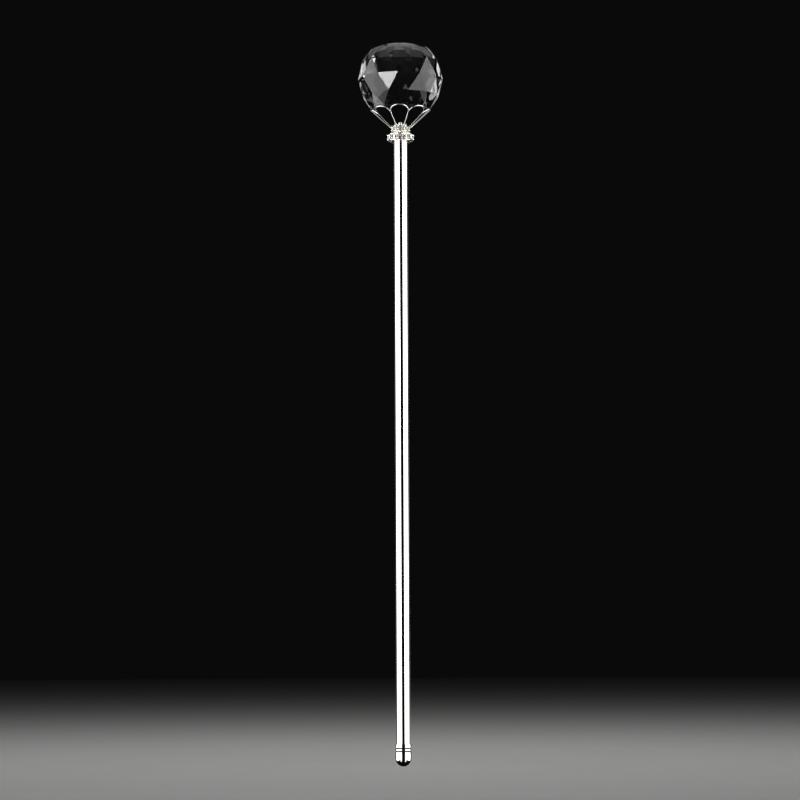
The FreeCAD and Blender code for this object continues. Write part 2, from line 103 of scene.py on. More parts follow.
class Signal:
    """A number worked out by nodes, with Python's operators for its maths."""

    def __init__(self, graph: Graph, socket: bpy.types.NodeSocket) -> None:
        """Wraps one output socket."""
        self.graph = graph
        self.socket = socket

    def math(self, operation: str, first: object, second: object = 0.0, clamp: bool = False) -> "Signal":
        """One Math node of two values."""
        kind = "ShaderNodeMath"
        settings = {"operation": operation, "use_clamp": clamp}
        return Signal(self.graph, self.graph.node(kind, settings, {0: first, 1: second}).outputs[0])

    def __add__(self, other: object) -> "Signal":
        """self + other."""
        return self.math("ADD", self, other)

    def __radd__(self, other: object) -> "Signal":
        """other + self."""
        return self.math("ADD", other, self)

    def __sub__(self, other: object) -> "Signal":
        """self - other."""
        return self.math("SUBTRACT", self, other)

    def __rsub__(self, other: object) -> "Signal":
        """other - self."""
        return self.math("SUBTRACT", other, self)

    def __mul__(self, other: object) -> "Signal":
        """self * other."""
        return self.math("MULTIPLY", self, other)

    def __rmul__(self, other: object) -> "Signal":
        """other * self."""
        return self.math("MULTIPLY", other, self)

    def __truediv__(self, other: object) -> "Signal":
        """self / other."""
        return self.math("DIVIDE", self, other)

    def __rtruediv__(self, other: object) -> "Signal":
        """other / self."""
        return self.math("DIVIDE", other, self)

    def __pow__(self, other: object) -> "Signal":
        """self to the power other."""
        return self.math("POWER", self, other)

    def rising(self, low: float, high: float) -> "Signal":
        """0 below low and 1 above high, and even between them."""
        return self.math("MULTIPLY", self - low, 1.0 / (high - low), clamp=True)


@dataclass(frozen=True)
class Pattern:
    """A noise: its blots' size and how they stretch along X, Y and Z, its finer layers and its cut."""

    grain: float
    stretch: Colour = (1.0, 1.0, 1.0)
    detail: float = 3.0
    cut: Span | None = None


class Surface(Graph):
    """A material's nodes: patterns on Object coordinates that end in one Principled shader."""

    def __init__(self, name: str) -> None:
        """Starts a material of that name."""
        self.material = bpy.data.materials.new(name)
        self.material.use_nodes = True
        super().__init__(self.material.node_tree)
        self.place = self.node("ShaderNodeTexCoord").outputs["Object"]

    def noise(self, pattern: Pattern) -> Signal:
        """A noise from 0 to 1, spread out between the ends of its cut where it has one."""
        scale = tuple(1.0 / (pattern.grain * along) for along in pattern.stretch)
        spread = self.node("ShaderNodeMapping", {}, {"Vector": self.place, "Scale": scale})
        sockets = {"Vector": spread.outputs[0], "Scale": 1.0, "Detail": pattern.detail}
        plain = Signal(self, self.node("ShaderNodeTexNoise", {}, sockets).outputs["Fac"])
        return plain.rising(*pattern.cut) if pattern.cut else plain

    def along(self, axis: int) -> Signal:
        """How far a point lies along one axis: 0, 1 or 2 for X, Y or Z."""
        return Signal(self, self.node("ShaderNodeSeparateXYZ", {}, {0: self.place}).outputs[axis])

    def off_axis(self) -> Signal:
        """How far a point lies from the wand's axis."""
        return (self.along(0) ** 2.0 + self.along(1) ** 2.0) ** 0.5

    def blend(self, share: Signal, plain: Colour, other: Colour) -> bpy.types.NodeSocket:
        """One colour that gives way to another as share goes from 0 to 1."""
        sockets = {0: share, 6: (*plain, 1.0), 7: (*other, 1.0)}
        return self.node("ShaderNodeMix", {"data_type": "RGBA"}, sockets).outputs[2]

    def relief(self, height: Signal, depth: float, strength: float) -> bpy.types.NodeSocket:
        """A Bump normal of that depth in metres."""
        sockets = {"Height": height, "Distance": depth, "Strength": strength}
        return self.node("ShaderNodeBump", {}, sockets).outputs[0]

    def finish(self, sockets: dict) -> bpy.types.Material:
        """Ends the tree in a Principled shader with those inputs and returns the material."""
        shader = self.node("ShaderNodeBsdfPrincipled", {}, sockets)
        self.node("ShaderNodeOutputMaterial", {}, {"Surface": shader.outputs[0]})
        return self.material

    def metal(
        self, colour: bpy.types.NodeSocket, roughness: Signal, normal: bpy.types.NodeSocket
    ) -> bpy.types.Material:
        """Ends the tree in a metal and returns the material."""
        return self.finish({"Base Color": colour, "Metallic": 1.0, "Roughness": roughness, "Normal": normal})


# ---------------------------------------------------------------- finishes


class Lay(Enum):
    """Which way the polishing lines of a metal run, as a stretch along X, Y and Z."""

    UPRIGHT = (1.0, 1.0, 90.0)
    ROUND = (14.0, 14.0, 1.0)
    EVEN = (1.0, 1.0, 1.0)


@dataclass(frozen=True)
class PolishedSilver:
    """Mirror-polished silver plate: faint polishing lines, smears from handling, and a warm bloom."""

    name: str
    lay: Lay
    tint: Colour = (0.93, 0.93, 0.92)
    bloom: Colour = (0.80, 0.77, 0.70)
    bloom_share: float = 0.35
    gloss: float = 0.05
    smear: float = 0.07
    line_gloss: float = 0.03
    line_width: float = 0.3 * MM
    line_depth: float = 0.0004 * MM
    line_strength: float = 0.35
    smears: Pattern = Pattern(9.0 * MM, (1.0, 1.0, 2.5), 4.0, (0.48, 0.72))
    blooms: Pattern = Pattern(22.0 * MM, (1.0, 1.0, 1.6), 5.0, (0.50, 0.80))

    def build(self) -> bpy.types.Material:
        """Makes the material."""
        surface = Surface(self.name)
        lines = surface.noise(Pattern(self.line_width, self.lay.value))
        colour = surface.blend(surface.noise(self.blooms) * self.bloom_share, self.tint, self.bloom)
        roughness = surface.noise(self.smears) * self.smear + lines * self.line_gloss + self.gloss
        return surface.metal(colour, roughness, surface.relief(lines, self.line_depth, self.line_strength))


@dataclass(frozen=True)
class GroovedSilver:
    """The cap's mirror plate, with shade painted near black into its turned grooves."""

    name: str
    radius: float
    groove_foot: float
    groove_fade: float = 0.2 * MM
    sunk: Span = (0.30 * MM, 0.06 * MM)
    tint: Colour = (0.93, 0.93, 0.92)
    # Painted shade: the near-black colour of the groove bottoms, and the roughness it gets there.
    painted_groove_shade: Colour = (0.025, 0.024, 0.022)
    painted_groove_shade_gloss: float = 0.35
    gloss: float = 0.03
    smear: float = 0.05
    line_gloss: float = 0.03
    line_depth: float = 0.0004 * MM
    line_strength: float = 0.35
    lines: Pattern = Pattern(0.3 * MM, Lay.ROUND.value)
    smears: Pattern = Pattern(4.0 * MM, detail=4.0, cut=(0.48, 0.72))

    def build(self) -> bpy.types.Material:
        """Makes the material."""
        surface = Surface(self.name)
        lines = surface.noise(self.lines)
        deep, shallow = (self.radius - depth for depth in self.sunk)
        above = surface.along(2).rising(self.groove_foot - self.groove_fade, self.groove_foot)
        # Painted shade: in the turned grooves, above the groove foot, the metal is painted near black.
        painted_groove_shade = (1.0 - surface.off_axis().rising(deep, shallow)) * above
        colour = surface.blend(painted_groove_shade, self.tint, self.painted_groove_shade)
        smears = surface.noise(self.smears) * self.smear
        roughness = painted_groove_shade * self.painted_groove_shade_gloss + smears + lines * self.line_gloss + self.gloss
        return surface.metal(colour, roughness, surface.relief(lines, self.line_depth, self.line_strength))


@dataclass(frozen=True)
class CollarSilver:
    """Cast and plated settings: bright on the outside, with shade painted in darker and warmer down between
    the cups.
    """

    name: str
    inner_radius: float
    outer_radius: float
    tint: Colour = (0.93, 0.92, 0.89)
    shade: Colour = (0.66, 0.62, 0.50)
    depth_share: float = 0.6
    grime_share: float = 0.3
    gloss: float = 0.05
    depth_gloss: float = 0.12
    grime_gloss: float = 0.08
    casting_gloss: float = 0.05
    casting_depth: float = 0.03 * MM
    casting_strength: float = 0.3
    grime: Pattern = Pattern(0.9 * MM, detail=4.0, cut=(0.45, 0.75))
    casting: Pattern = Pattern(0.22 * MM)

    def build(self) -> bpy.types.Material:
        """Makes the material."""
        surface = Surface(self.name)
        # Painted shade: towards the axis, down between the cups, the metal is painted darker and warmer. The
        # grime noise adds real dirt at random.
        depth = 1.0 - surface.off_axis().rising(self.inner_radius, self.outer_radius)
        grime, casting = surface.noise(self.grime), surface.noise(self.casting)
        share = depth * self.depth_share + grime * self.grime_share
        dull = depth * self.depth_gloss + grime * self.grime_gloss + casting * self.casting_gloss
        relief = surface.relief(casting, self.casting_depth, self.casting_strength)
        return surface.metal(surface.blend(share, self.tint, self.shade), dull + self.gloss, relief)


@dataclass(frozen=True)
class CutGlass:
    """Clear polished glass with hairline marks on its facets and a little dust."""

    name: str
    tint: Colour
    refraction: float
    mark_width: float
    sheen: float = 0.5
    haze: float = 0.97
    haze_share: float = 0.5
    mark_stretch: Colour = (1.0, 9.0, 1.0)
    mark_cut: Span = (0.66, 0.80)
    mark_gloss: float = 0.02
    mark_depth: float = 0.002 * MM
    mark_strength: float = 0.15
    dust_to_mark_width: float = 12.0
    dust_cut: Span = (0.55, 0.85)
    dust_gloss: float = 0.006

    def build(self) -> bpy.types.Material:
        """Makes the material."""
        surface = Surface(self.name)
        marks = surface.noise(Pattern(self.mark_width, self.mark_stretch, cut=self.mark_cut))
        dust_width = self.mark_width * self.dust_to_mark_width
        dust = surface.noise(Pattern(dust_width, detail=5.0, cut=self.dust_cut))
        hazed = tuple(part * self.haze for part in self.tint)
        return surface.finish(
            {
                "Base Color": surface.blend(dust * self.haze_share, self.tint, hazed),
                "Transmission Weight": 1.0,
                "IOR": self.refraction,
                "Specular IOR Level": self.sheen,
                "Roughness": marks * self.mark_gloss + dust * self.dust_gloss,
                "Normal": surface.relief(marks, self.mark_depth, self.mark_strength),
            }
        )


@dataclass(frozen=True)
class FoilBack:
    """The mirror foil behind a rhinestone, with fine crinkles."""

    name: str
    tint: Colour = (0.96, 0.96, 0.97)
    shade: Colour = (0.86, 0.88, 0.92)
    gloss: float = 0.04
    crinkle_gloss: float = 0.06
    crinkle_depth: float = 0.02 * MM
    crinkle_strength: float = 0.25
    crinkle: Pattern = Pattern(0.4 * MM)

    def build(self) -> bpy.types.Material:
        """Makes the material."""
        surface = Surface(self.name)
        crinkle = surface.noise(self.crinkle)
        relief = surface.relief(crinkle, self.crinkle_depth, self.crinkle_strength)
        colour = surface.blend(crinkle, self.tint, self.shade)
        return surface.metal(colour, crinkle * self.crinkle_gloss + self.gloss, relief)


@dataclass(frozen=True)
class TurnedMetal:
    """A plain turned metal part with tool rings, stained in its hollows."""

    name: str
    tint: Colour
    stain: Colour
    gloss: float
    stain_share: float = 0.6
    stain_gloss: float = 0.15
    ring_gloss: float = 0.12
    ring_depth: float = 0.02 * MM
    ring_strength: float = 0.4
    rings: Pattern = Pattern(0.18 * MM, Lay.ROUND.value)
    stains: Pattern = Pattern(3.0 * MM, detail=5.0, cut=(0.45, 0.75))

    def build(self) -> bpy.types.Material:
        """Makes the material."""
        surface = Surface(self.name)
        rings, stains = surface.noise(self.rings), surface.noise(self.stains)
        colour = surface.blend(stains * self.stain_share, self.tint, self.stain)
        roughness = rings * self.ring_gloss + stains * self.stain_gloss + self.gloss
        return surface.metal(colour, roughness, surface.relief(rings, self.ring_depth, self.ring_strength))


@dataclass(frozen=True)
class ClearCement:
    """Cured clear resin with small bubbles."""

    name: str
    tint: Colour = (0.82, 0.84, 0.84)
    bubble: Colour = (0.95, 0.96, 0.96)
    coat: float = 0.6
    gloss: float = 0.12
    bubble_gloss: float = 0.2
    bubble_depth: float = 0.05 * MM
    bubble_strength: float = 0.5
    bubbles: Pattern = Pattern(0.8 * MM, detail=2.0, cut=(0.62, 0.70))

    def build(self) -> bpy.types.Material:
        """Makes the material."""
        surface = Surface(self.name)
        bubbles = surface.noise(self.bubbles)
        return surface.finish(
            {
                "Base Color": surface.blend(bubbles, self.tint, self.bubble),
                "Roughness": bubbles * self.bubble_gloss + self.gloss,
                "Coat Weight": self.coat,
                "Normal": surface.relief(bubbles, self.bubble_depth, self.bubble_strength),
            }
        )


@dataclass(frozen=True)
class PaleFloor:
    """A plain pale studio floor."""

    name: str
    tint: Colour = (0.78, 0.78, 0.77)
    other: Colour = (0.82, 0.82, 0.81)
    gloss: float = 0.45
    mottle_gloss: float = 0.05
    tooth_depth: float = 0.05 * MM
    tooth_strength: float = 0.1
    mottle: Pattern = Pattern(50.0 * MM)
    tooth: Pattern = Pattern(1.5 * MM, detail=2.0)

    def build(self) -> bpy.types.Material:
        """Makes the material."""
        surface = Surface(self.name)
        mottle = surface.noise(self.mottle)
        return surface.finish(
            {
                "Base Color": surface.blend(mottle, self.tint, self.other),
                "Roughness": mottle * self.mottle_gloss + self.gloss,
                "Specular IOR Level": 0.0,
                "Normal": surface.relief(surface.noise(self.tooth), self.tooth_depth, self.tooth_strength),
            }
        )


# ---------------------------------------------------------------- meshes


def box_of(node: str) -> tuple[float, float, float]:
    """A round node's foot, top and radius, from its box in the frame."""
    low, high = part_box(node)
    return low[2], high[2], (high[0] - low[0]) / 2


def eased(outline: Outline, radius: float, steps: int = 3, closed: bool = True) -> Outline:
    """Rounds the corners of an outline.

    Args:
        outline: its corners.
        radius: how far each rounding reaches along the edges beside a corner.
        steps: how many edges make each rounding.
        closed: False leaves the first and last corners as they are.

    Returns:
        The rounded outline.
    """
    rounded = []
    count = len(outline)
    for index, corner in enumerate(outline):
        if not closed and index in (0, count - 1):
            rounded.append(corner)
            continue
        here = Vector(corner)
        before, after = (Vector(outline[beside % count]) - here for beside in (index - 1, index + 1))
        start = here + before * min(MOST_OF_EDGE, radius / before.length)
        end = here + after * min(MOST_OF_EDGE, radius / after.length)
        for step in range(steps + 1):
            share = step / steps
            point = start * (1 - share) ** 2 + here * 2 * share * (1 - share) + end * share**2
            rounded.append(tuple(point))
    return rounded


def supported(outline: Outline, closed: bool, margin: float = 0.04 * MM, shortest: float = 8.0) -> Outline:
    """Adds a corner near each end of every long edge, so that rounded corners don't shade flat faces.

    Args:
        outline: its corners.
        closed: True when the last corner joins the first.
        margin: how far from the edge's ends the new corners lie.
        shortest: how many margins long an edge must be.

    Returns:
        The outline with the corners added.
    """
    full = []
    count = len(outline)
    for index, corner in enumerate(outline):
        full.append(corner)
        if index == count - 1 and not closed:
            break
        here, ahead = Vector(corner), Vector(outline[(index + 1) % count])
        step = (ahead - here).normalized() * margin
        if (ahead - here).length > shortest * margin:
            full += [tuple(here + step), tuple(ahead - step)]
    return full


def lathe(name: str, outline: Outline, around: int, closed: bool = True) -> bpy.types.Mesh:
    """Turns an outline of (radius, height) corners about Z.

    Args:
        name: the mesh's name.
        outline: its corners, going round with the solid on the left.
        around: how many edges make one turn.
        closed: True joins the last corner to the first, as in a ring. False needs both ends on the axis.

    Returns:
        A closed mesh with its faces outwards.
    """
    shape = bmesh.new()
    rows = []
    for across, up in supported(outline, closed):
        if across < ON_AXIS:
            rows.append([shape.verts.new((0, 0, up))] * around)
            continue
        turns = (FULL_TURN * step / around for step in range(around))
        spots = ((across * math.cos(turn), across * math.sin(turn), up) for turn in turns)
        rows.append([shape.verts.new(spot) for spot in spots])
    bridge(shape, rows + rows[:1] if closed else rows)
    return closed_mesh(name, shape)


def bridge(shape: bmesh.types.BMesh, rows: list[list[bmesh.types.BMVert]]) -> None:
    """Joins each ring of corners to the next one. In a ring that is a point, all corners are the same one."""
    for low, high in zip(rows, rows[1:], strict=False):
        for step in range(len(low)):
            following = (step + 1) % len(low)
            corners = list(dict.fromkeys([low[step], low[following], high[following], high[step]]))
            if len(corners) > 2:
                shape.faces.new(corners)


def closed_mesh(name: str, shape: bmesh.types.BMesh) -> bpy.types.Mesh:
    """Turns a closed shape's faces outwards and stores it as a mesh."""
    bmesh.ops.recalc_face_normals(shape, faces=shape.faces[:])
    mesh = bpy.data.meshes.new(name)
    shape.to_mesh(mesh)
    shape.free()
    return mesh


def smooth(mesh: bpy.types.Mesh, crease: float = 40.0) -> bpy.types.Mesh:
    """Shades a mesh smooth except over edges sharper than crease degrees."""
    mesh.polygons.foreach_set("use_smooth", [True] * len(mesh.polygons))
    mesh.set_sharp_from_angle(angle=math.radians(crease))
    return mesh


def joined(name: str, meshes: list[bpy.types.Mesh]) -> bpy.types.Mesh:
    """Puts several meshes into one, each still a closed shell of its own."""
    shape = bmesh.new()
    for mesh in meshes:
        shape.from_mesh(mesh)
    whole = bpy.data.meshes.new(name)
    shape.to_mesh(whole)
    shape.free()
    return whole


def new_object(name: str, data: bpy.types.ID | None) -> bpy.types.Object:
    """Links a new object that sits at the origin."""
    made = bpy.data.objects.new(name, data)
    bpy.context.scene.collection.objects.link(made)
    return made


def baked(source: bpy.types.Object, name: str) -> bpy.types.Mesh:
    """An object's mesh with every modifier worked out. The object itself is removed."""
    graph = bpy.context.evaluated_depsgraph_get()
    mesh = bpy.data.meshes.new_from_object(source.evaluated_get(graph))
    mesh.name = name
    bpy.data.objects.remove(source)
    return mesh


@dataclass
class Fitting:
    """How a finished piece joins the frame."""

    body: str
    slot: str
    nodes: tuple[str, ...]

    def fit(self, name: str, mesh: bpy.types.Mesh, *materials: bpy.types.Material) -> bpy.types.Object:
        """Adds a piece that rides on the body and stands for its nodes.

        Args:
            name: the piece's name.
            mesh: its finished mesh.
            materials: its materials, unless the mesh has its own.

        Returns:
            The new piece.
        """
        for material in materials:
            mesh.materials.append(material)
        piece = new_object(name, mesh)
        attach(piece, self.body)
        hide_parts(*self.nodes)
        LOG.info("%s: %d faces on %s", name, len(mesh.polygons), self.body)
        return piece


def dress(node: str, material: bpy.types.Material) -> None:
    """Gives a node that is kept as it is its finish."""
    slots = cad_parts[node].material_slots
    for slot in slots:
        slot.link = "OBJECT"
        slot.material = material
    LOG.info("%s: kept, with %s", node, material.name)


# ---------------------------------------------------------------- geometry nodes


class Maker(Graph):
    """A Geometry Nodes tree with named inputs, run once to give a plain mesh."""

    SOCKETS = {
        float: "NodeSocketFloat",
        int: "NodeSocketInt",
        bpy.types.Object: "NodeSocketObject",
        bpy.types.Material: "NodeSocketMaterial",
    }

    def __init__(self, name: str, values: dict) -> None:
        """Starts a tree with an input for each of values."""
        super().__init__(bpy.data.node_groups.new(name, "GeometryNodeTree"))
        self.values = values
        interface = self.tree.interface
        interface.new_socket("Geometry", in_out="OUTPUT", socket_type="NodeSocketGeometry")
        self.keys = {}
        for title, value in values.items():
            kind = self.SOCKETS[type(value)]
            self.keys[title] = interface.new_socket(title, in_out="INPUT", socket_type=kind).identifier
        self.inputs = self.node("NodeGroupInput").outputs

    def value(self, title: str) -> Signal:
        """One of the tree's numbers."""
        return Signal(self, self.inputs[title])

    def along_z(self, value: object) -> bpy.types.NodeSocket:
        """A move up the wand's axis, or a turn about it."""
        return self.node("ShaderNodeCombineXYZ", {}, {"Z": value}).outputs[0]

    def shape_of(self, title: str) -> bpy.types.NodeSocket:
        """The geometry of the object that an input holds."""
        return self.node("GeometryNodeObjectInfo", {}, {0: self.inputs[title]}).outputs["Geometry"]

    def swept(self, path: bpy.types.NodeSocket, radius: str, sides: int) -> bpy.types.NodeSocket:
        """A capped wire with that many sides along a path, as thick as the input says."""
        sockets = {"Resolution": sides, "Radius": self.inputs[radius]}
        section = self.node("GeometryNodeCurvePrimitiveCircle", {}, sockets).outputs[0]
        sockets = {"Curve": path, "Profile Curve": section, "Fill Caps": True}
        return self.node("GeometryNodeCurveToMesh", {}, sockets).outputs[0]

    def copies_round(self, geometry: bpy.types.NodeSocket, count: object) -> bpy.types.NodeSocket:
        """Instances of geometry turned evenly about the wand's axis."""
        points = self.node("GeometryNodePoints", {}, {"Count": count}).outputs[0]
        index = Signal(self, self.node("GeometryNodeInputIndex").outputs[0])
        turned = self.along_z(index * FULL_TURN / count)
        sockets = {"Points": points, "Instance": geometry, "Rotation": turned}
        return self.node("GeometryNodeInstanceOnPoints", {}, sockets).outputs[0]

    def mesh(self, geometry: bpy.types.NodeSocket) -> bpy.types.Mesh:
        """Ends the tree with its finish, and its backing where it has one, and makes a plain mesh."""
        dressed = self.node("GeometryNodeRealizeInstances", {}, {0: geometry}).outputs[0]
        sockets = {"Geometry": dressed, "Material": self.inputs["Finish"]}
        dressed = self.node("GeometryNodeSetMaterial", {}, sockets).outputs[0]
        if "Backing" in self.values:
            kind = {"data_type": "BOOLEAN"}
            backed = self.node("GeometryNodeInputNamedAttribute", kind, {"Name": "backed"}).outputs[0]
            sockets = {"Geometry": dressed, "Selection": backed, "Material": self.inputs["Backing"]}
            dressed = self.node("GeometryNodeSetMaterial", {}, sockets).outputs[0]
        self.node("NodeGroupOutput", {}, {0: dressed})
        holder = new_object(self.tree.name, bpy.data.meshes.new(self.tree.name))
        modifier = holder.modifiers.new("maker", "NODES")
        modifier.node_group = self.tree
        for title, value in self.values.items():
            modifier[self.keys[title]] = value
        return baked(holder, self.tree.name)


def repeated(
    name: str,
    mesh: bpy.types.Mesh,
    count: int,
    material: bpy.types.Material,
    backing: bpy.types.Material | None = None,
) -> bpy.types.Mesh:
    """Copies one mesh evenly round the wand's axis.

    Args:
        name: the new mesh's name.
        mesh: the copy that faces +X, already at its place.
        count: how many there are.
        material: their finish.
        backing: the finish of faces that the mesh marks as backed, where it has any.

    Returns:
        One mesh that holds them all.
    """
    pattern = new_object(f"{name}_pattern", mesh)
    values = {"Pattern": pattern, "Count": count, "Finish": material}
    if backing:
        values["Backing"] = backing
    maker = Maker(name, values)
    made = maker.mesh(maker.copies_round(maker.shape_of("Pattern"), maker.value("Count")))
    bpy.data.objects.remove(pattern)
    return made


def gem(name: str, sides: int, rings: Outline, material: bpy.types.Material) -> bpy.types.Mesh:
    """A cut stone: the smallest hull round rings of corners.

    Args:
        name: the mesh's name.
        sides: how many corners each ring has.
        rings: each ring's radius and height, lowest first. Every other ring is half a step round, counted
            from the widest one.
        material: the stone's finish.

    Returns:
        A closed mesh of flat facets.
    """
    values = {"Sides": sides}
    for index, (radius, height) in enumerate(rings):
        values[f"Ring {index + 1} Radius"] = float(radius)
        values[f"Ring {index + 1} Height"] = float(height)
    values["Finish"] = material
    maker = Maker(name, values)
    widest = max(range(len(rings)), key=lambda index: rings[index][0])
    corners = maker.node("GeometryNodeJoinGeometry")
    for index in range(len(rings)):
        radius, height = (maker.inputs[f"Ring {index + 1} {size}"] for size in ("Radius", "Height"))
        ring = maker.node("GeometryNodeMeshCircle", {}, {"Vertices": maker.inputs["Sides"], "Radius": radius})
        half_step = FULL_TURN / 2 * ((index - widest) % 2) / maker.value("Sides")
        sockets = {
            "Geometry": ring.outputs[0],
            "Translation": maker.along_z(height),
            "Rotation": maker.along_z(half_step),
        }
        placed = maker.node("GeometryNodeTransform", {}, sockets)
        maker.tree.links.new(placed.outputs[0], corners.inputs[0])
    hull = maker.node("GeometryNodeConvexHull", {}, {0: corners.outputs[0]}).outputs[0]
    flat = maker.node("GeometryNodeSetShadeSmooth", {}, {"Geometry": hull, "Shade Smooth": False})
    return maker.mesh(flat.outputs[0])


# ---------------------------------------------------------------- the rod


@dataclass
class Rod:
    """The tube that is held, its rounded end cap, and the tapped plug in its upper end."""

    tube_bore: float = 3.0 * MM
    cap_socket: float = 4.0 * MM
    tube_edge: float = 0.25 * MM
    dome_height: float = 4.6 * MM
    dome_steps: int = 24
    groove_depth: float = 0.42 * MM
    groove_width: float = 0.95 * MM
    groove_fullness: float = 0.8
    groove_steps: int = 8
    groove_heights: Span = (8.7 * MM, 10.4 * MM)
    # How far in from the side and down from the top each corner of the cap's rounded rim lies.
    rim: tuple[Span, ...] = (
        (0.0, 0.45 * MM),
        (0.05 * MM, 0.22 * MM),
        (0.18 * MM, 0.06 * MM),
        (0.38 * MM, 0.0),
    )
    around: int = 128

    def build(self) -> None:
        """Makes the rod's pieces."""
        silver = PolishedSilver("shaft_silver", Lay.UPRIGHT).build()
        cap_radius = box_of("end_cap")[2]
        groove_foot = box_of("end_cap")[0] + self.groove_heights[0] - self.groove_width / 2
        cap_silver = GroovedSilver("cap_silver", cap_radius, groove_foot).build()
        Fitting("rod", "shaft_silver", ("shaft_tube",)).fit("shaft_tube_polished", self.tube(), silver)
        Fitting("rod", "cap_silver", ("end_cap",)).fit("end_cap_polished", self.cap(), cap_silver)
        brass = TurnedMetal("plug_brass", (0.80, 0.63, 0.33), (0.52, 0.38, 0.18), 0.18)
        dress("thread_plug", brass.build())

    def tube(self) -> bpy.types.Mesh:
        """The tube, with eased ends."""
        foot, top, radius = box_of("shaft_tube")
        corners = [(self.tube_bore, foot), (radius, foot), (radius, top), (self.tube_bore, top)]
        return smooth(lathe("shaft_tube_polished", eased(corners, self.tube_edge), self.around))

    def groove(self, radius: float, height: float) -> Outline:
        """A round-bottomed groove in the cap's side."""
        outline = []
        for step in range(self.groove_steps + 1):
            turn = math.pi * step / self.groove_steps
            depth = self.groove_depth * math.sin(turn) ** self.groove_fullness
            outline.append((radius - depth, height - self.groove_width / 2 * math.cos(turn)))
        return outline

    def cap(self) -> bpy.types.Mesh:
        """The bullet-shaped cap, with its socket for the tube."""
        foot, top, radius = box_of("end_cap")
        centre = (self.dome_height**2 + radius**2) / (2 * self.dome_height)
        last = math.asin(min(1.0, radius / centre))
        turns = (last * step / self.dome_steps for step in range(self.dome_steps))
        outline = [(centre * math.sin(turn), foot + centre * (1 - math.cos(turn))) for turn in turns]
        outline.append((radius, foot + self.dome_height))
        for height in self.groove_heights:
            outline += self.groove(radius, foot + height)
        tube_foot = box_of("shaft_tube")[0]
        outline += [(radius - inward, top - down) for inward, down in self.rim]
        outline += [(self.cap_socket, top), (self.cap_socket, tube_foot), (0.0, tube_foot)]
        return smooth(lathe("end_cap_polished", outline, self.around, closed=False), 50.0)


# ---------------------------------------------------------------- the stud


@dataclass
class Stud:
    """The threaded stud that carries the head, and the clip that snaps on it."""

    pitch: float = 0.7 * MM
    root_radius: float = 1.52 * MM
    clip_groove: float = 0.45 * MM
    clip_to_thread: float = 0.6 * MM
    run_out: float = 0.3 * MM
    edge: float = 0.06 * MM
    plain_foot: float = 0.5 * MM
    plain_end: float = 0.2 * MM
    ridge_share: float = 0.72
    around: int = 48

    def build(self) -> None:
        """Makes the stud and finishes the clip and washer."""
        steel = TurnedMetal("stud_steel", (0.66, 0.66, 0.67), (0.45, 0.44, 0.42), 0.16).build()
        Fitting("head", "stud_steel", ("centre_stud",)).fit("centre_stud_threaded", self.threaded(steel))
        spring = TurnedMetal("spring_steel", (0.42, 0.42, 0.44), (0.24, 0.22, 0.21), 0.22).build()
        for node in ("retaining_clip", "lock_washer"):
            dress(node, spring)

    def threaded(self, steel: bpy.types.Material) -> bpy.types.Mesh:
        """The plain shank with a rolled thread below the clip."""
        foot, top, radius = box_of("centre_stud")
        clip_foot, clip_top, _ = box_of("retaining_clip")
        thread_top = clip_foot - self.clip_to_thread
        neck = radius - self.clip_groove
        corners = [
            (0.0, foot),
            (self.root_radius, foot),
            (self.root_radius, thread_top),
            (radius, thread_top + self.run_out),
            (radius, clip_foot),
            (neck, clip_foot),
            (neck, clip_top),
            (radius, clip_top),
            (radius, top),
            (0.0, top),
        ]
        shank = smooth(lathe("shank", eased(corners, self.edge, closed=False), self.around, closed=False))
        ridge = self.thread(foot + self.plain_foot, thread_top - self.plain_end, radius, steel)
        thread = smooth(ridge, 25.0)
        whole = joined("centre_stud_threaded", [shank, thread])
        whole.materials.append(steel)
        return whole

    def thread(self, foot: float, top: float, radius: float, steel: bpy.types.Material) -> bpy.types.Mesh:
        """The thread's ridge: a three-sided section along a spiral."""
        ridge = (radius - self.root_radius) * self.ridge_share
        values = {
            "Turns": (top - foot) / self.pitch,
            "Ridge Radius": radius - ridge,
            "Ridge Size": ridge,
            "Length": top - foot,
            "Foot": foot,
            "Finish": steel,
        }
        maker = Maker("thread", values)
        sockets = {
            "Resolution": self.around,
            "Rotations": maker.inputs["Turns"],
            "Start Radius": maker.inputs["Ridge Radius"],
            "End Radius": maker.inputs["Ridge Radius"],
            "Height": maker.inputs["Length"],
        }
        spiral = maker.node("GeometryNodeCurveSpiral", {}, sockets).outputs[0]
        sockets = {"Geometry": spiral, "Translation": maker.along_z(maker.inputs["Foot"])}
        path = maker.node("GeometryNodeTransform", {}, sockets).outputs[0]
        return maker.mesh(maker.swept(path, "Ridge Size", 3))


# ---------------------------------------------------------------- settings and stones


# Each ring of a stone's corners: its radius, and its height over the girdle, in stone radii.
STONE_CUT = ((0.06, -0.72), (0.55, -0.36), (1.0, 0.0), (0.98, 0.06), (0.80, 0.22), (0.52, 0.34))


